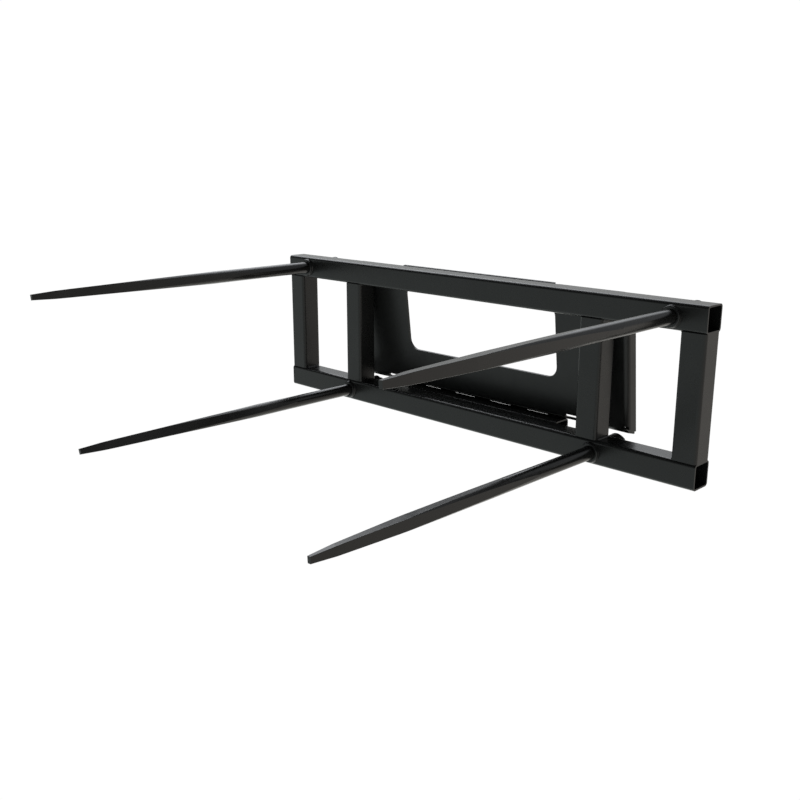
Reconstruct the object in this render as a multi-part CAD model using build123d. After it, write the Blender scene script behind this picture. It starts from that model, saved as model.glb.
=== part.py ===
from build123d import *
import math
import os

# Four-tine bale spear on a square-tube frame with a quick-attach plate behind it.
# Millimetres. X runs along the frame, tines point to -Y, +Z is up.
# Origin: middle of the underside of the bottom beam. The pieces are laid out from the front face
# of the tubes (y = 0 below) and moved forward by half a tube at the end.
# Left and right are -X and +X, as seen by someone who faces the tine tips.

# ---- driving dimensions ----------------------------------------------------
tube = 76.2                # side of the square tube
tube_wall = 4.8
tube_corner = 10.0         # outer corner radius of the tube
frame_width = 1743.0
frame_height = 512.4
outer_post_x = (frame_width - tube) / 2.0
inner_post_x = 512.7
spacer_half_length = 353.0
spacer_depth = 66.2        # the tube behind the bottom beam, front to back

plate_t = 7.94
plate_tilt = math.degrees(math.atan(0.1214))   # top forward, bottom leaning back
plate_half_width = 582.5
plate_bend_r = 18.0        # outer radius of the bottom bend
side_bend_r = 16.0         # outer radius of the side bends
side_depth = 43.3          # side flanges, measured from the plate's front plane
hook_bend_r = 16.0
hook_depth = 45.0
hook_crown_z = 508.2
hook_inner_x = 328.0
hook_outer_x = 558.0
tab_half_width = 324.5     # middle of the top edge, left unfolded
tab_top_z = 513.3
window_half_width = 324.5
window_bottom_z = 208.0
window_top_z = 444.0
window_corner = 38.0
flange_slope = 15.6        # bottom flange, degrees below level
flange_end_y = 172.0
flange_half_width = 577.0
bottom_half_width = 566.5  # bottom bend, inside the corner reliefs
slot_center_x = 401.5      # slots for the loader's lock pins
slot_length = 99.8
slot_top_z = 94.3
slot_rear_y = 154.0
slot_corner = 6.0

tine_r = 21.0
tine_length = 1075.0       # in front of the beam
tine_side_start = 265.0    # where the side flats run out into the round bar
tine_top_start = 440.0     # the same for the top and bottom flats
tine_corner_r = 21.5       # what is left of the round on the corners between the flats
tine_knee = 810.0          # the taper steepens here
tine_knee_half = (14.8, 15.6)      # half width across X and Z
tine_neck = 960.0
tine_neck_half = (10.3, 13.5)
tine_break = 1000.0        # where the short end taper starts
tine_break_half = (9.5, 12.7)
tine_tip_half = (5.6, 8.9)
shank_rear_r = 17.6
shank_end_y = 135.0
stud_r = 12.0
stud_root_r = 10.7         # past the nut
stud_end_y = 169.0
upper_tine = (765.7, 474.2)
lower_tine = (534.9, 38.1)
right_drop = 1.4           # the right-hand tines sit this much lower
tine_roll = {"upper_left": 9.0, "lower_left": 19.0, "upper_right": 3.0, "lower_right": 3.0}

collar_r = 30.15           # sleeve in front of the beam
collar_round = 3.6
sleeve_r = 28.5            # sleeve through the beam and behind it
sleeve_front_y = -10.0
sleeve_rear_y = 139.0
sleeve_clear = 0.15        # all round the conical shank
washer_r = 29.0
washer_t = 4.0
nut_flats = 36.0
nut_h = 19.0
nut_turn = {"upper_left": 0.0, "lower_left": 0.0, "upper_right": 30.0, "lower_right": 30.0}


# ---- square tubes ------------------------------------------------------------
def tube_profile(w, h, r):
    """Rounded rectangle with its hollow, centred."""
    inner = max(r - tube_wall, 1.0)
    return RectangleRounded(w, h, r) - RectangleRounded(w - 2 * tube_wall, h - 2 * tube_wall, inner)


def tube_x(x0, x1, y0, y1, z0, z1):
    """Open square tube along X."""
    plane = Plane(origin=(x0, (y0 + y1) / 2, (z0 + z1) / 2), x_dir=(0, 1, 0), z_dir=(1, 0, 0))
    return extrude(plane * tube_profile(y1 - y0, z1 - z0, tube_corner), amount=x1 - x0)


def tube_z(xc, z0, z1):
    """Open square tube along Z, flush with the frame front and back."""
    plane = Plane(origin=(xc, tube / 2, z0), x_dir=(1, 0, 0), z_dir=(0, 0, 1))
    return extrude(plane * tube_profile(tube, tube, tube_corner), amount=z1 - z0)


def rod(xc, zc, r, y0, y1):
    """Round bar along Y."""
    plane = Plane(origin=(xc, y0, zc), x_dir=(1, 0, 0), z_dir=(0, 1, 0))
    return extrude(plane * Circle(r), amount=y1 - y0)


hw = frame_width / 2
bore_r = sleeve_r + 0.15
top_beam = tube_x(-hw, hw, 0, tube, frame_height - tube, frame_height)
bottom_beam = tube_x(-hw, hw, 0, tube, 0, tube)
for sx in (-1, 1):
    drop = right_drop if sx > 0 else 0.0
    top_beam -= rod(sx * upper_tine[0], upper_tine[1] - drop, bore_r, -5, tube + 5)
    bottom_beam -= rod(sx * lower_tine[0], lower_tine[1] - drop, bore_r, -5, tube + 5)

post_z0, post_z1 = tube, frame_height - tube
outer_post_left = tube_z(-outer_post_x, post_z0, post_z1)
outer_post_right = tube_z(outer_post_x, post_z0, post_z1)
inner_post_left = tube_z(-inner_post_x, post_z0, post_z1)
inner_post_right = tube_z(inner_post_x, post_z0, post_z1)
spacer_tube = tube_x(-spacer_half_length, spacer_half_length, tube, tube + spacer_depth, 0, tube)

# ---- quick-attach plate, one bent sheet -----------------------------------------
th = math.radians(plate_tilt)
# The front plane touches the rounded top back corner of the top beam.
touch_y = tube - tube_corner + tube_corner * math.cos(th)
touch_z = frame_height - tube_corner + tube_corner * math.sin(th)


def wv(w, v):
    """Point (Y, Z) at w behind the plate's front plane and v up along it from the touch point."""
    return (touch_y + w * math.cos(th) - v * math.sin(th), touch_z + w * math.sin(th) + v * math.cos(th))


def front_y(z):
    return touch_y + (touch_z - z) * math.tan(th)


def v_at_z(z):
    """v of the front plane's point at height z."""
    return (z - touch_z) / math.cos(th)


# Lower face of the bottom flange touches the top back corner of the spacer tube.
fs = math.radians(flange_slope)
corner_y, corner_z = tube + spacer_depth - tube_corner, tube - tube_corner
flange_gap = 0.05
fl_z0 = corner_z + (tube_corner + flange_gap) / math.cos(fs)


def flange_low_z(y):
    return fl_z0 - (y - corner_y) * math.tan(fs)


# Apex, where the sheet's outer faces would meet.
apex_z = (fl_z0 - (touch_y + touch_z * math.tan(th) - corner_y) * math.tan(fs)) / (1 - math.tan(th) * math.tan(fs))
apex = (front_y(apex_z), apex_z)
f_dir = (math.cos(fs), -math.sin(fs))          # rearwards along the flange
f_nrm = (math.sin(fs), math.cos(fs))           # up, off the flange
low_end = (flange_end_y, flange_low_z(flange_end_y))
up_end = (low_end[0] + plate_t * f_nrm[0], low_end[1] + plate_t * f_nrm[1])


def meet(p, d, q, e):
    """Where the line p + s d meets q + t e."""
    det = d[0] * (-e[1]) - d[1] * (-e[0])
    rx, ry = q[0] - p[0], q[1] - p[1]
    s = (rx * (-e[1]) - ry * (-e[0])) / det
    return (p[0] + s * d[0], p[1] + s * d[1])


v_up = (-math.sin(th), math.cos(th))
w_bk = (math.cos(th), math.sin(th))
inner_apex = meet(wv(plate_t, 0), v_up, up_end, f_dir)


def yz_prism(points, x0, x1, rounds=()):
    """Polygon in the YZ plane, some corners rounded, extruded from x0 to x1."""
    plane = Plane(origin=(x0, 0, 0), x_dir=(0, 1, 0), z_dir=(1, 0, 0))
    face = make_face(Polyline(*[(p[0], p[1]) for p in points], close=True))
    for p, r in rounds:
        vert = face.vertices().sort_by_distance(Vector(p[0], p[1], 0))[0]
        face = fillet(vert, r)
    return extrude(plane * face, amount=x1 - x0)


v_tab = v_at_z(tab_top_z)
sheet_half = plate_half_width - side_bend_r
v_hook_root = v_at_z(hook_crown_z) - hook_bend_r - 6.0
body_pts = [wv(0, v_tab), apex, low_end, up_end, inner_apex, wv(plate_t, v_tab)]
plate = yz_prism(body_pts, -bottom_half_width, bottom_half_width, [(apex, plate_bend_r), (inner_apex, plate_bend_r - plate_t)])
relief_z = 96.5
for sx in (-1, 1):
    xa, xb = sorted((sx * sheet_half, sx * (plate_half_width + 5)))
    plate -= yz_prism([(60.0, relief_z), (220.0, relief_z), (220.0, 600.0), (60.0, 600.0)], xa, xb)

# Outside the middle tab the sheet ends lower, where the hooks fold.
for sx in (-1, 1):
    xa, xb = sorted((sx * tab_half_width, sx * (sheet_half + 5)))
    plate -= yz_prism([wv(-3, v_hook_root), wv(plate_t + 3, v_hook_root), wv(plate_t + 3, v_tab + 5), wv(-3, v_tab + 5)], xa, xb)

# Hooks: folded back through 135 degrees, hanging over the loader's top edge.
v_crown = v_at_z(hook_crown_z - hook_bend_r * math.sin(th))
c45 = math.sqrt(0.5)
v_apex_hook = v_crown - hook_bend_r + hook_bend_r * math.tan(math.radians(67.5))
leg = hook_depth / c45
k_in = plate_t * math.tan(math.radians(67.5))
h_apex = wv(0, v_apex_hook)
h_end = wv(leg * c45, v_apex_hook - leg * c45)
h_end_in = wv(leg * c45 - plate_t * c45, v_apex_hook - leg * c45 - plate_t * c45)
h_apex_in = wv(plate_t, v_apex_hook - plate_t / math.tan(math.radians(22.5)))
hook_pts = [wv(0, v_hook_root), h_apex, h_end, h_end_in, h_apex_in, wv(plate_t, v_hook_root)]
for sx in (-1, 1):
    xa, xb = sorted((sx * hook_inner_x, sx * hook_outer_x))
    plate += yz_prism(hook_pts, xa, xb, [(h_apex, hook_bend_r), (h_apex_in, hook_bend_r - plate_t)])

# Window.
front_plane = Plane(origin=(0, touch_y, touch_z), x_dir=(1, 0, 0), z_dir=(0, -w_bk[0], -w_bk[1]))
v0, v1 = v_at_z(window_bottom_z), v_at_z(window_top_z)
window = extrude(
    front_plane * (Pos(0, (v0 + v1) / 2) * RectangleRounded(2 * window_half_width, v1 - v0, window_corner)),
    amount=30,
    both=True,
)
plate -= window

# Side flanges with their bends: one section across, run up the plate.
v_side_top = v_at_z(497.0)
v_side_low = v_at_z(40.0)
side_notch_y = 134.0
flange_ear_y = 138.0
for sx in (-1, 1):
    xo = sx * plate_half_width
    xi = sx * (plate_half_width - plate_t)
    xs = sx * (sheet_half - 4.0)
    # Section in the plane across the sheet: local x along X, local y rearwards.
    sec = make_face(Polyline((xs, 0), (xo, 0), (xo, side_depth), (xi, side_depth), (xi, plate_t), (xs, plate_t), close=True))
    v_out = sec.vertices().sort_by_distance(Vector(xo, 0, 0))[0]
    sec = fillet(v_out, side_bend_r)
    v_in = sec.vertices().sort_by_distance(Vector(xi, plate_t, 0))[0]
    sec = fillet(v_in, side_bend_r - plate_t)
    # Plane with x_dir along X and y_dir rearwards has its normal along the sheet, upwards.
    y_mid, z_mid = wv(0, v_side_low)
    across = Plane(origin=(0, y_mid, z_mid), x_dir=(1, 0, 0), z_dir=(0, v_up[0], v_up[1]))
    side = extrude(across * sec, amount=v_side_top - v_side_low)
    xa, xb = sorted((sx * (sheet_half - 5), sx * (plate_half_width + 5)))
    # Lower edge follows the bottom flange with a narrow gap.
    g = plate_t + 0.8
    low = [
        (60.0, flange_low_z(60.0) + g / math.cos(fs)),
        (260.0, flange_low_z(260.0) + g / math.cos(fs)),
        (260.0, -60.0),
        (60.0, -60.0),
    ]
    side -= yz_prism(low, xa, xb)
    # Corner relief where the side and bottom bends would meet.
    relief = [(80.0, relief_z), (side_notch_y, relief_z), (side_notch_y, 40.0), (80.0, 40.0)]
    side -= yz_prism(relief, xa, xb, [((side_notch_y, relief_z), 2.0)])
    # Top rear corner cut parallel to the hook.
    cut = [
        wv(side_bend_r + 6, v_side_top + 1),
        wv(side_depth + 10, v_side_top + 1),
        wv(side_depth + 10, v_side_top + 1 - (side_depth + 10 - side_bend_r - 6)),
    ]
    side -= yz_prism(cut, xa, xb)
    plate += side
    # Bottom flange runs a little further out than its bend, behind the relief.
    ext0 = meet(low_end, f_dir, (flange_ear_y, 0), (0, 1))
    ext1 = meet(up_end, f_dir, (flange_ear_y, 0), (0, 1))
    xe0, xe1 = sorted((sx * (bottom_half_width - 0.5), sx * flange_half_width))
    plate += yz_prism([ext0, low_end, up_end, ext1], xe0, xe1)

# Lock-pin slots, from the plate's face round the bend into the bottom flange.
v_slot = v_at_z(slot_top_z)
s_low = (slot_rear_y, flange_low_z(slot_rear_y))
slot_pts = [
    wv(-25, v_slot),
    wv(plate_t + 6, v_slot),
    (s_low[0] + (plate_t + 8) * f_nrm[0], s_low[1] + (plate_t + 8) * f_nrm[1]),
    (s_low[0] - 25 * f_nrm[0], s_low[1] - 25 * f_nrm[1]),
    (100.0, 40.0),
]
for sx in (-1, 1):
    x0 = sx * slot_center_x - slot_length / 2
    tool = yz_prism(slot_pts, x0, x0 + slot_length)
    near_top = [e for e in tool.edges() if abs(e.length - (plate_t + 31)) < 0.01]
    near_rear = [e for e in tool.edges() if abs(e.length - (plate_t + 33)) < 0.01]
    tool = fillet(near_top + near_rear, slot_corner)
    plate -= tool

quick_attach_plate = plate


# ---- tines, sleeves, washers and nuts ----------------------------------------------
def rounded_rect_section(y, half_x, half_z, r=1.3):
    plane = Plane(origin=(0, y, 0), x_dir=(1, 0, 0), z_dir=(0, -1, 0))
    return plane * RectangleRounded(2 * half_x, 2 * half_z, r)


stud_step_y = sleeve_rear_y + washer_t + nut_h - 1.6


def make_tine(name):
    """Forged bar along Y about the origin: threaded stud, conical shank, round bar, four flats tapering to a blunt point."""
    profile = make_face(
        Polyline(
            (0, -stud_end_y),
            (stud_root_r - 1.2, -stud_end_y),
            (stud_root_r, -stud_end_y + 1.2),
            (stud_root_r, -stud_step_y - 1.3),
            (stud_r, -stud_step_y),
            (stud_r, -shank_end_y - 1.0),
            (shank_rear_r, -shank_end_y),
            (tine_r, -sleeve_front_y),
            (tine_r, tine_side_start),
            (tine_corner_r, tine_top_start),
            (tine_corner_r, tine_length),
            (0, tine_length),
            close=True,
        )
    )
    # Local x is radial, local y runs towards the tip.
    sketch_plane = Plane(origin=(0, 0, 0), x_dir=(1, 0, 0), z_dir=(0, 0, -1))
    bar = revolve(sketch_plane * profile, axis=Axis.Y)
    kx, kz = tine_knee_half
    ax = (tine_r - kx) / (tine_knee - tine_side_start)
    az = (tine_r - kz) / (tine_knee - tine_top_start)
    s0 = -180.0
    sections = [
        rounded_rect_section(-s0, kx + ax * (tine_knee - s0), kz + az * (tine_knee - s0)),
        rounded_rect_section(-tine_knee, kx, kz),
        rounded_rect_section(-tine_neck, *tine_neck_half),
        rounded_rect_section(-tine_break, *tine_break_half),
        rounded_rect_section(-tine_length, *tine_tip_half),
    ]
    env = loft(sections, ruled=True)
    body = bar & env
    return body.rotate(Axis.Y, -tine_roll[name])


def make_sleeve():
    slope = (tine_r - shank_rear_r) / (shank_end_y + (-sleeve_front_y))

    def bore_at(y):
        return tine_r + sleeve_clear - slope * (y - sleeve_front_y)

    profile = make_face(
        Polyline(
            (bore_at(sleeve_front_y) + 1.0, sleeve_front_y),
            (collar_r, sleeve_front_y),
            (collar_r, -0.05),
            (sleeve_r, -0.05),
            (sleeve_r, sleeve_rear_y - 1.0),
            (sleeve_r - 1.0, sleeve_rear_y),
            (bore_at(sleeve_rear_y), sleeve_rear_y),
            (bore_at(sleeve_front_y + 1.0), sleeve_front_y + 1.0),
            close=True,
        )
    )
    # Plane.XY: local x radial, local y along the world's Y.
    rim = profile.vertices().sort_by_distance(Vector(collar_r, sleeve_front_y, 0))[0]
    profile = fillet(rim, collar_round)
    return revolve(profile, axis=Axis.Y)


def make_washer():
    profile = make_face(
        Polyline(
            (stud_r + 0.5, sleeve_rear_y),
            (washer_r, sleeve_rear_y),
            (washer_r, sleeve_rear_y + washer_t - 0.8),
            (washer_r - 0.8, sleeve_rear_y + washer_t),
            (stud_r + 0.5, sleeve_rear_y + washer_t),
            close=True,
        )
    )
    return revolve(profile, axis=Axis.Y)


def make_nut(name):
    y0 = sleeve_rear_y + washer_t
    plane = Plane(origin=(0, y0, 0), x_dir=(1, 0, 0), z_dir=(0, 1, 0))
    hexagon = extrude(plane * RegularPolygon(nut_flats / 2, 6, major_radius=False), amount=nut_h)
    rc = nut_flats / 2 / math.cos(math.radians(30)) + 0.5
    rf = nut_flats / 2 - 0.6
    drop = (rc - rf) * math.tan(math.radians(30))
    barrel = revolve(
        make_face(
            Polyline(
                (0, y0), (rf, y0), (rc, y0 + drop), (rc, y0 + nut_h - drop), (rf, y0 + nut_h), (0, y0 + nut_h), close=True
            )
        ),
        axis=Axis.Y,
    )
    hole = revolve(
        make_face(
            Polyline(
                (0, y0 - 1),
                (stud_r + 1.2, y0 - 1),
                (stud_r + 1.2, y0),
                (stud_r + 0.12, y0 + 1.5),
                (stud_r + 0.12, y0 + nut_h - 1.5),
                (stud_r + 1.2, y0 + nut_h),
                (stud_r + 1.2, y0 + nut_h + 1),
                (0, y0 + nut_h + 1),
                close=True,
            )
        ),
        axis=Axis.Y,
    )
    nut = (hexagon & barrel) - hole
    return nut.rotate(Axis.Y, nut_turn[name])


places = {
    "upper_left": (-upper_tine[0], upper_tine[1]),
    "upper_right": (upper_tine[0], upper_tine[1] - right_drop),
    "lower_left": (-lower_tine[0], lower_tine[1]),
    "lower_right": (lower_tine[0], lower_tine[1] - right_drop),
}

parts = {
    "top_beam": top_beam,
    "bottom_beam": bottom_beam,
    "outer_post_left": outer_post_left,
    "outer_post_right": outer_post_right,
    "inner_post_left": inner_post_left,
    "inner_post_right": inner_post_right,
    "spacer_tube": spacer_tube,
    "quick_attach_plate": quick_attach_plate,
}
for key, (px, pz) in places.items():
    at = Pos(px, 0, pz)
    parts["spear_" + key] = at * make_tine(key)
    parts["spear_sleeve_" + key] = at * make_sleeve()
    parts["spear_washer_" + key] = at * make_washer()
    parts["spear_nut_" + key] = at * make_nut(key)

os.makedirs("parts", exist_ok=True)
for node, shape in parts.items():
    shape = Pos(0, -tube / 2, 0) * shape
    solids = shape.solids()
    out = solids[0] if len(solids) == 1 else Compound(children=list(solids))
    out.label = node
    export_step(out, os.path.join("parts", node + ".step"))
    bb = out.bounding_box()
    print(
        f"{node:28s} solids {len(solids)} volume {out.volume/1000:9.1f} cm3  "
        f"x {bb.min.X:8.1f} {bb.max.X:8.1f}  y {bb.min.Y:8.1f} {bb.max.Y:8.1f}  z {bb.min.Z:7.1f} {bb.max.Z:7.1f}"
    )
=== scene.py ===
import math
import random

import bmesh
import bpy
from mathutils import Matrix, Vector


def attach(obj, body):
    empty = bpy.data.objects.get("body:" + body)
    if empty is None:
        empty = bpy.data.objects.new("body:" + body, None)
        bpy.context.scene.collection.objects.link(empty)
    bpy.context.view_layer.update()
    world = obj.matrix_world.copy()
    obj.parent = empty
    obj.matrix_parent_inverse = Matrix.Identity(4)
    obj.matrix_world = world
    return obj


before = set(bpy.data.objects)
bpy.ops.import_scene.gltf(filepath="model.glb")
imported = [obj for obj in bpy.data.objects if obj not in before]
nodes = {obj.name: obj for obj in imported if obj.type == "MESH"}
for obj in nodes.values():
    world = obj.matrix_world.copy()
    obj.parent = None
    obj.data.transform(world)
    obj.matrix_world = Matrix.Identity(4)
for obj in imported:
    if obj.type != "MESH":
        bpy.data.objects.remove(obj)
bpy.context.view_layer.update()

rng = random.Random(7)

# Everything is in metres. The pieces were laid out from the tubes' front face, which is at y = FY.
T = 0.0762
FY = -T / 2
H = 0.5124
HW = 1.743 / 2

# ------------------------------------------------------------------ camera
az, el, roll = math.radians(45.2617), math.radians(14.9075), math.radians(-0.0213)
back = Vector((math.sin(az) * math.cos(el), -math.cos(az) * math.cos(el), math.sin(el)))
right0 = Vector((math.cos(az), math.sin(az), 0.0))
up0 = back.cross(right0)
right = right0 * math.cos(roll) + up0 * math.sin(roll)
up = up0 * math.cos(roll) - right0 * math.sin(roll)
cam_data = bpy.data.cameras.new("camera")
cam = bpy.data.objects.new("camera", cam_data)
bpy.context.scene.collection.objects.link(cam)
cam.matrix_world = Matrix((
    (right.x, up.x, back.x, 2.015904),
    (right.y, up.y, back.y, -2.262079 + FY),
    (right.z, up.z, back.z, 0.901616),
    (0, 0, 0, 1),
))
cam_data.sensor_fit = "HORIZONTAL"
cam_data.sensor_width = 36.0
cam_data.lens = 36.0 * 935.0923 / 800.0
cam_data.clip_start, cam_data.clip_end = 0.05, 60.0
bpy.context.scene.camera = cam

bpy.context.scene.view_settings.view_transform = "Standard"
bpy.context.scene.view_settings.look = "None"


# ------------------------------------------------------------------ node helpers
def new_material(name):
    m = bpy.data.materials.new(name)
    m.use_nodes = True
    nt = m.node_tree
    nt.nodes.clear()
    out = nt.nodes.new("ShaderNodeOutputMaterial")
    bsdf = nt.nodes.new("ShaderNodeBsdfPrincipled")
    nt.links.new(bsdf.outputs[0], out.inputs[0])
    return m, nt, bsdf


def noise(nt, coord, scale, detail=3.0, rough=0.5):
    n = nt.nodes.new("ShaderNodeTexNoise")
    n.inputs["Scale"].default_value = scale
    n.inputs["Detail"].default_value = detail
    n.inputs["Roughness"].default_value = rough
    nt.links.new(coord, n.inputs["Vector"])
    return n.outputs["Fac"]


def map_range(nt, src, a, b, c, d):
    n = nt.nodes.new("ShaderNodeMapRange")
    n.inputs["From Min"].default_value = a
    n.inputs["From Max"].default_value = b
    n.inputs["To Min"].default_value = c
    n.inputs["To Max"].default_value = d
    nt.links.new(src, n.inputs["Value"])
    return n.outputs["Result"]


def math_node(nt, op, a, b=None):
    n = nt.nodes.new("ShaderNodeMath")
    n.operation = op
    for i, v in enumerate((a, b)):
        if v is None:
            continue
        if isinstance(v, (int, float)):
            n.inputs[i].default_value = v
        else:
            nt.links.new(v, n.inputs[i])
    return n.outputs[0]


def mix_colour(nt, fac, a, b):
    n = nt.nodes.new("ShaderNodeMix")
    n.data_type = "RGBA"
    nt.links.new(fac, n.inputs["Factor"])
    for sock, v in ((n.inputs[6], a), (n.inputs[7], b)):
        if isinstance(v, tuple):
            sock.default_value = (*v, 1.0)
        else:
            nt.links.new(v, sock)
    return n.outputs[2]


def paint(name, dark, light, rough_lo, rough_hi, peel=0.06, mill=0.0, mill_axis=0):
    """Sprayed gloss black: faint cloudiness, orange peel, and under it the rolled or drawn steel's own waviness."""
    m, nt, b = new_material(name)
    tc = nt.nodes.new("ShaderNodeTexCoord")
    co = tc.outputs["Object"]
    cloud = noise(nt, co, 9.0, 4.0, 0.55)
    fine = noise(nt, co, 140.0, 2.0)
    mixf = math_node(nt, "ADD", math_node(nt, "MULTIPLY", cloud, 0.75), math_node(nt, "MULTIPLY", fine, 0.25))
    f = map_range(nt, mixf, 0.35, 0.65, 0.0, 1.0)
    nt.links.new(mix_colour(nt, f, dark, light), b.inputs["Base Color"])
    r = map_range(nt, noise(nt, co, 23.0, 5.0, 0.6), 0.3, 0.7, rough_lo, rough_hi)
    nt.links.new(r, b.inputs["Roughness"])
    b.inputs["IOR"].default_value = 1.5
    # orange peel about 2.5 mm across, with long soft waves of the steel below
    h1 = noise(nt, co, 420.0, 2.0, 0.45)
    bump1 = nt.nodes.new("ShaderNodeBump")
    bump1.inputs["Strength"].default_value = peel
    bump1.inputs["Distance"].default_value = 0.0006
    nt.links.new(h1, bump1.inputs["Height"])
    last = bump1
    if mill > 0:
        mp = nt.nodes.new("ShaderNodeMapping")
        s = [60.0, 60.0, 60.0]
        s[mill_axis] = 4.0
        mp.inputs["Scale"].default_value = s
        nt.links.new(co, mp.inputs["Vector"])
        h2 = noise(nt, mp.outputs[0], 1.0, 3.0)
        bump2 = nt.nodes.new("ShaderNodeBump")
        bump2.inputs["Strength"].default_value = mill
        bump2.inputs["Distance"].default_value = 0.002
        nt.links.new(h2, bump2.inputs["Height"])
        nt.links.new(bump1.outputs[0], bump2.inputs["Normal"])
        last = bump2
    nt.links.new(last.outputs[0], b.inputs["Normal"])
    return m


frame_paint = paint("frame_black", (0.0105, 0.0110, 0.0110), (0.0145, 0.0150, 0.0150), 0.25, 0.31, 0.02, 0.012, 0)
plate_paint = paint("plate_black", (0.0100, 0.0105, 0.0105), (0.0140, 0.0145, 0.0145), 0.31, 0.37, 0.02, 0.012, 2)
tine_paint = paint("tine_black", (0.0105, 0.0105, 0.0103), (0.0150, 0.0148, 0.0145), 0.20, 0.28, 0.02, 0.015, 1)
hardware_paint = paint("hardware_black", (0.0100, 0.0103, 0.0103), (0.0145, 0.0147, 0.0147), 0.24, 0.32, 0.03)
weld_paint = paint("weld_black", (0.0100, 0.0104, 0.0104), (0.0150, 0.0153, 0.0152), 0.24, 0.34, 0.06)

# bead under the bend given a much paler base colour than the paint: a painted highlight standing in for the bright line
# along the bend
bend_bead_painted_highlight = paint("weld_bead_painted_highlight", (0.066, 0.066, 0.064), (0.094, 0.093, 0.090), 0.42, 0.55, 0.05)

for name, obj in nodes.items():
    if name == "quick_attach_plate":
        mat = plate_paint
    elif name.startswith(("spear_nut", "spear_washer")):
        mat = hardware_paint
    elif name.startswith("spear_sleeve"):
        mat = frame_paint
    elif name.startswith("spear_"):
        mat = tine_paint
    else:
        mat = frame_paint
    for s in obj.material_slots:
        s.material = mat


# ------------------------------------------------------------------ welds and threads
def ripple(s, pitch, seed):
    """Height 0..1 of stacked weld ripples at arc length s, each ripple a little different."""
    k = math.floor(s / pitch)
    f = s / pitch - k
    r = random.Random(seed * 7919 + k)
    amp = 0.75 + 0.25 * r.random()
    return amp * (1.0 - abs(2.0 * f - 1.0) ** 2.6)


class MeshBuilder:
    def __init__(self):
        self.verts, self.faces = [], []

    def loft(self, rings, closed):
        """Skin a list of equal closed rings; ends are capped unless the run is closed."""
        base, n = len(self.verts), len(rings[0])
        for ring in rings:
            self.verts.extend(tuple(p) for p in ring)
        m = len(rings)
        for i in range(m if closed else m - 1):
            a, b = base + i * n, base + ((i + 1) % m) * n
            for j in range(n):
                k = (j + 1) % n
                self.faces.append((a + j, a + k, b + k, b + j))
        if not closed:
            self.faces.append(tuple(base + j for j in reversed(range(n))))
            self.faces.append(tuple(base + (m - 1) * n + j for j in range(n)))

    def piece(self, name, material, smooth=True):
        me = bpy.data.meshes.new(name)
        me.from_pydata(self.verts, [], self.faces)
        bm = bmesh.new()
        bm.from_mesh(me)
        bmesh.ops.recalc_face_normals(bm, faces=bm.faces)
        for f in bm.faces:
            f.smooth = smooth and len(f.verts) == 4
        bm.to_mesh(me)
        bm.free()
        me.materials.append(material)
        o = bpy.data.objects.new(name, me)
        bpy.context.scene.collection.objects.link(o)
        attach(o, "root")
        return o


STEP = 0.0009
PITCH = 0.0048


def bead_section(root, a, b, leg_a, leg_b, bulge, s, seed, warp=None, pitch=PITCH):
    """Closed section of a fillet bead at arc length s: from leg_a along a to leg_b along b, sunk slightly into both faces."""
    pts = []
    n = 7
    mid = (a + b).normalized()
    r0 = ripple(s, pitch, seed)
    la, lb = leg_a * (0.94 + 0.09 * r0), leg_b * (0.94 + 0.09 * ripple(s, pitch, seed + 1))
    for i in range(n):
        t = i / (n - 1)
        lag = 0.42 * pitch * math.sin(math.pi * t)
        r = ripple(s + lag, pitch, seed)
        p = root + a * (la * (1 - t)) + b * (lb * t) + mid * math.sin(math.pi * t) * (bulge * (0.55 + 0.6 * r))
        pts.append((p, t))
    sunk = 0.0004
    pts.insert(0, (root + a * la - b * sunk, 0.0))
    pts.append((root + b * lb - a * sunk, 1.0))
    pts.append((root - (a + b) * sunk, 0.5))
    if warp:
        return [warp(p, t) for p, t in pts]
    return [p for p, t in pts]


def straight_bead(mb, p0, p1, a, b, leg_a, leg_b, bulge, seed, warp=None):
    p0, p1, a, b = Vector(p0), Vector(p1), Vector(a).normalized(), Vector(b).normalized()
    length = (p1 - p0).length
    m = max(8, int(length / STEP))
    rings = []
    for i in range(m + 1):
        s = length * i / m
        end = min(s, length - s)
        k = 0.35 + 0.65 * min(1.0, max(end, 0.0) / 0.003) ** 0.5
        wob = 0.00012 * math.sin(s * 410 + seed)
        root = p0.lerp(p1, i / m)
        rings.append(bead_section(root, a, b, leg_a * k + wob, leg_b * k - wob, bulge * k, s, seed, warp))
    mb.loft(rings, False)


def ring_bead(mb, centre, radius, side, leg_r, leg_y, bulge, seed, surface, start=0.0):
    """Fillet bead round a sleeve where it leaves a beam. side is -1 in front, +1 behind; surface gives the beam's y at a point."""
    cx, cy, cz = centre
    n = int(2 * math.pi * radius / STEP)
    pitch = 2 * math.pi * radius / round(2 * math.pi * radius / (PITCH * 1.25))
    rings = []
    for i in range(n):
        th = start + 2 * math.pi * i / n
        out = Vector((math.cos(th), 0.0, math.sin(th)))
        y0 = surface(cz + radius * math.sin(th))
        root = Vector((cx, y0, cz)) + out * radius
        b = Vector((0.0, float(side), 0.0))

        def warp(p, t, y0=y0):
            q = Vector(p)
            q.y += (surface(min(max(q.z, cz - 0.04), cz + 0.04)) - y0) * (1.0 - t)
            return q

        wob = 0.0003 * math.sin(3 * th + seed)
        rings.append(bead_section(root, out, b, leg_r + wob, leg_y - wob, bulge, radius * 2 * math.pi * i / n, seed, warp, pitch))
    mb.loft(rings, True)


RC = 0.010
BEAMS = ((0.0, T), (H - T, H))


def front_surface(z_low):
    """Front (y) of a beam whose underside is at z_low, with its rounded corners."""
    def f(z):
        d = max(z_low + RC - z, z - (z_low + T - RC), 0.0)
        d = min(d, RC)
        return FY + RC - math.sqrt(max(RC * RC - d * d, 0.0))
    return f


def back_surface(z_low):
    f = front_surface(z_low)
    return lambda z: -f(z)


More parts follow.
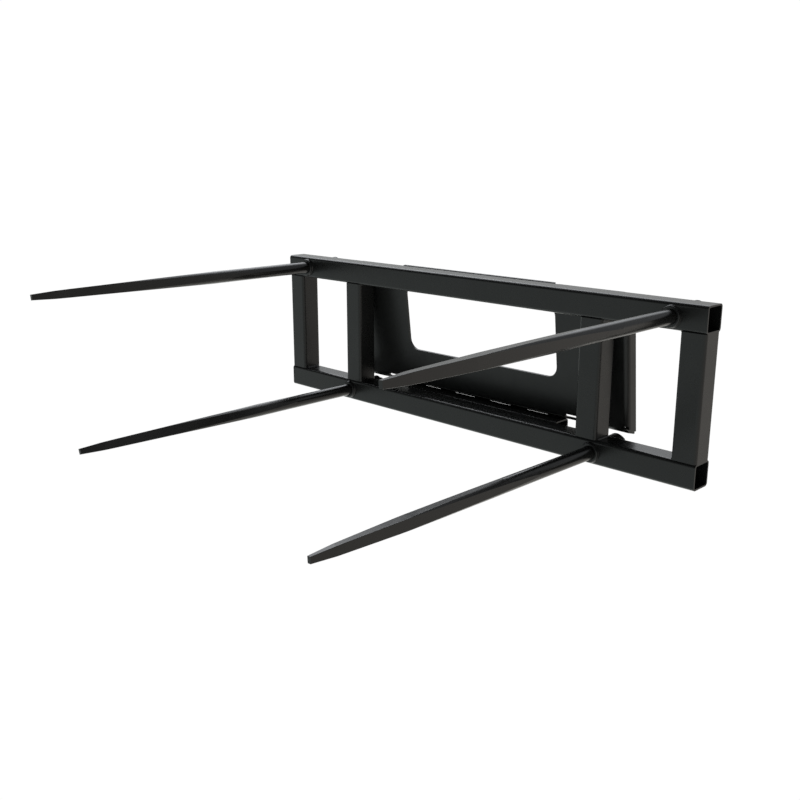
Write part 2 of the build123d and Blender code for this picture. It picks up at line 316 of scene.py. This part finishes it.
UP, DOWN = Vector((0, 0, 1)), Vector((0, 0, -1))
mb = MeshBuilder()
seed = 1
posts = [(-0.8334, -1), (-0.5127, 0), (0.5127, 0), (0.8334, 1)]
for xc, outer in posts:
    for z_joint, along in ((T, 1), (H - T, -1)):
        a = Vector((0, 0, float(along)))                 # up or down the post
        for sx in (-1, 1):
            if sx == outer:
                continue
            # fillet between the post's side and the beam
            x = xc + sx * T / 2
            seed += 2
            straight_bead(mb, (x, -T / 2 + 0.0085, z_joint), (x, T / 2 - 0.0085, z_joint), a, (sx, 0, 0), 0.0045, 0.0045, 0.0006, seed)
        for sy in (-1, 1):
            # groove where the post's end meets the beam's rounded corner
            seed += 2
            y = sy * (T / 2 - RC + 0.0008)
            straight_bead(
                mb, (xc - T / 2 + 0.001, y, z_joint), (xc + T / 2 - 0.001, y, z_joint),
                (0, float(sy), 0.0), (0, 0.35 * sy, -along), 0.0062, 0.0034, 0.0006, seed)
mb.piece("weld_posts", weld_paint)

mb = MeshBuilder()
for k, (x, z, z_low) in enumerate(((-0.7657, 0.4742, H - T), (0.7657, 0.4728, H - T), (-0.5349, 0.0381, 0.0), (0.5349, 0.0367, 0.0))):
    ring_bead(mb, (x, 0, z), 0.03013, -1, 0.0021, 0.0042, 0.0001, 201 + 10 * k, front_surface(z_low), 0.4 * k)
    ring_bead(mb, (x, 0, z), 0.02848, 1, 0.0050, 0.0050, 0.0009, 206 + 10 * k, back_surface(z_low), 1.1 + 0.4 * k)
mb.piece("weld_sleeves", weld_paint)

# The plate on the spacer tube and on the top beam, and the spacer tube on the bottom beam.
TH = math.atan(0.1214)
FS = math.radians(15.6)
SP = 0.0662
mb = MeshBuilder()
top_touch = Vector((0, T / 2 - RC + RC * math.cos(TH), H - RC + RC * math.sin(TH)))
front = MeshBuilder()
for i, x0 in enumerate((-0.315, -0.165, -0.025, 0.115, 0.265)):
    # upper edge of the joint, in the groove between the beam's corner and the plate
    root = top_touch + Vector((0, 0.0006, 0.0016))
    straight_bead(mb, (x0, root.y, root.z), (x0 + 0.05, root.y, root.z), (0, math.sin(-TH), math.cos(TH)), (0, -0.55, 0.83), 0.0050, 0.0046, -0.0008, 301 + 3 * i)
# front of the bottom bend, down to the tube's upper face: one long even pass
straight_bead(front, (-0.349, T / 2 + 0.0526, T + 0.0074), (0.349, T / 2 + 0.0526, T + 0.0074), (0, -1, 0), (0, -0.02, 1), 0.0014, 0.0029, 0.0001, 331)
# underside of the flange, on the tube's back
for i, x0 in enumerate((-0.345, -0.20, -0.04, 0.12, 0.275)):
    y = T / 2 + SP - 0.0022
    z = 0.0760 - (y - T / 2 - SP + 0.0073) * math.tan(FS)
    straight_bead(mb, (x0, y, z), (x0 + 0.07, y, z), (0, math.cos(FS), -math.sin(FS)), (0, 0.18, -1), 0.0060, 0.0064, 0.0004, 341 + 3 * i)
mb.piece("weld_plate", weld_paint)
# the bend bead wears the pale base colour, a painted highlight along the bend
front.piece("weld_bend", bend_bead_painted_highlight)

mb = MeshBuilder()
for sz, zz in ((1, T), (-1, 0.0)):
    # valley between the two tubes' rounded corners
    straight_bead(mb, (-0.3515, T / 2, zz - sz * 0.0088), (0.3515, T / 2, zz - sz * 0.0088), (0, -0.62, 0.78 * sz), (0, 0.62, 0.78 * sz), 0.0058, 0.0058, 0.0, 361 + sz)
for sx in (-1, 1):
    straight_bead(mb, (sx * 0.353, T / 2, 0.0105), (sx * 0.353, T / 2, T - 0.0105), (sx, 0, 0), (0, 1, 0), 0.0045, 0.0042, 0.0005, 371 + sx)
mb.piece("weld_spacer", weld_paint)

# Thread on each stud's end, past its nut.
NUT_END = FY + 0.162
STUD_END = FY + 0.169
mb = MeshBuilder()
for k, (x, z) in enumerate(((-0.7657, 0.4742), (0.7657, 0.4728), (-0.5349, 0.0381), (0.5349, 0.0367))):
    r_root, r_crest, lead = 0.01055, 0.01190, 0.0030
    turns = (STUD_END - NUT_END - 0.0010) / lead
    per = 48
    m = int(turns * per)
    rings = []
    for i in range(m + 1):
        f = i / per
        th = 2 * math.pi * f + k
        y = NUT_END - 0.0006 + lead * f
        fade = min(1.0, i / 10, (m - i) / 10)
        crest = r_root + 0.0001 + (r_crest - r_root - 0.0001) * max(fade, 0.02)
        o = Vector((math.cos(th), 0, math.sin(th)))
        c = Vector((x, 0, z))
        sec = [(r_root, -0.00125), (crest, -0.00025), (crest, 0.00025), (r_root, 0.00125)]
        rings.append([c + o * r + Vector((0, y + dy, 0)) for r, dy in sec])
    mb.loft(rings, False)
mb.piece("stud_threads", hardware_paint, smooth=False)

# ------------------------------------------------------------------ world and floor
world = bpy.data.worlds.new("studio")
bpy.context.scene.world = world
world.use_nodes = True
wt = world.node_tree
wt.nodes.clear()
wout = wt.nodes.new("ShaderNodeOutputWorld")
wbg = wt.nodes.new("ShaderNodeBackground")
wt.links.new(wbg.outputs[0], wout.inputs[0])
wtc = wt.nodes.new("ShaderNodeTexCoord")
wdir = wt.nodes.new("ShaderNodeVectorMath")
wdir.operation = "NORMALIZE"
wt.links.new(wtc.outputs["Generated"], wdir.inputs[0])


def wdot(v):
    n = wt.nodes.new("ShaderNodeVectorMath")
    n.operation = "DOT_PRODUCT"
    wt.links.new(wdir.outputs[0], n.inputs[0])
    v = Vector(v).normalized()
    n.inputs[1].default_value = v
    return n.outputs["Value"]


def lobe(direction, inner_deg, outer_deg, value):
    """A soft round light: full inside inner_deg of direction, nothing past outer_deg."""
    d = wdot(direction)
    n = wt.nodes.new("ShaderNodeMapRange")
    n.interpolation_type = "SMOOTHSTEP"
    n.inputs["From Min"].default_value = math.cos(math.radians(outer_deg))
    n.inputs["From Max"].default_value = math.cos(math.radians(inner_deg))
    n.inputs["To Min"].default_value = 0.0
    n.inputs["To Max"].default_value = value
    wt.links.new(d, n.inputs["Value"])
    return n.outputs["Result"]


def azel(a, e):
    a, e = math.radians(a), math.radians(e)
    return (math.sin(a) * math.cos(e), math.cos(a) * math.cos(e), math.sin(e))


def ramp(value, points):
    """Piecewise soft curve through (position, value) points."""
    out = None
    for (x0, v0), (x1, v1) in zip(points, points[1:]):
        n = wt.nodes.new("ShaderNodeMapRange")
        n.interpolation_type = "SMOOTHSTEP"
        n.inputs["From Min"].default_value = x0
        n.inputs["From Max"].default_value = x1
        n.inputs["To Min"].default_value = 0.0
        n.inputs["To Max"].default_value = v1 - v0
        wt.links.new(value, n.inputs["Value"])
        out = n.outputs["Result"] if out is None else math_node(wt, "ADD", out, n.outputs["Result"])
    return math_node(wt, "ADD", out, points[0][1])


# Pale surroundings near and below the horizon, brighter straight below, dark overhead, one soft box up behind on the left.
height = wdot((0, 0, 1))
terms = [
    ramp(height, [(-1.0, 1.10), (-0.80, 0.85), (-0.50, 0.52), (-0.05, 0.52), (0.30, 0.05)]),
    lobe(azel(-46, 9), 20, 42, 0.34),      # paler behind, left
    lobe(azel(-46, -40), 8, 30, 0.70),     # lit floor behind, left
    lobe(azel(36, 32), 14, 46, 0.34),      # dim reflector up behind, right
    lobe(azel(-32, 43), 9, 28, 2.1),       # long soft box up behind and over the left
    lobe(azel(-58, 32), 5, 16, 2.0),
    lobe(azel(-82, 38), 8, 20, 1.8),
]
total = terms[0]
for t in terms[1:]:
    total = math_node(wt, "ADD", total, t)
wt.links.new(total, wbg.inputs["Strength"])
# cool on the front left, warm on the back right
tint = mix_colour(wt, map_range(wt, wdot((1, 1, 0)), -0.8, 0.8, 0.0, 1.0), (0.94, 1.02, 1.0), (1.05, 1.0, 0.93))
# and the light from above a little cooler than the ground's
tint = mix_colour(wt, map_range(wt, height, 0.08, 0.30, 0.0, 1.0), tint, (0.965, 0.995, 1.03))
wt.links.new(tint, wbg.inputs["Color"])

# The floor and backdrop show plain white, and leave the light to the studio around them.
m, nt, b = new_material("stage_white")
nt.nodes.remove(b)
em = nt.nodes.new("ShaderNodeEmission")
em.inputs["Color"].default_value = (1, 1, 1, 1)
em.inputs["Strength"].default_value = 1.02
nt.links.new(em.outputs[0], [n for n in nt.nodes if n.type == "OUTPUT_MATERIAL"][0].inputs[0])


def stage_mesh(name, verts, faces):
    me = bpy.data.meshes.new(name)
    me.from_pydata(verts, [], faces)
    me.materials.append(m)
    o = bpy.data.objects.new(name, me)
    bpy.context.scene.collection.objects.link(o)
    o.visible_diffuse = o.visible_glossy = o.visible_transmission = o.visible_shadow = False
    return o


R = 14.0
stage_mesh("floor", [(-R, -R, -0.002), (R, -R, -0.002), (R, R, -0.002), (-R, R, -0.002)], [(0, 1, 2, 3)])
# a pale dome wall, open to light, all round
n_seg, n_ring = 48, 12
verts, faces = [], []
for j in range(n_ring + 1):
    e = math.radians(90 * j / n_ring)
    for i in range(n_seg):
        a = 2 * math.pi * i / n_seg
        verts.append((R * 0.98 * math.cos(a) * math.cos(e), R * 0.98 * math.sin(a) * math.cos(e), R * 0.98 * math.sin(e) - 0.002))
for j in range(n_ring):
    for i in range(n_seg):
        k = (i + 1) % n_seg
        faces.append((j * n_seg + i, j * n_seg + k, (j + 1) * n_seg + k, (j + 1) * n_seg + i))
stage_mesh("backdrop", verts, faces)
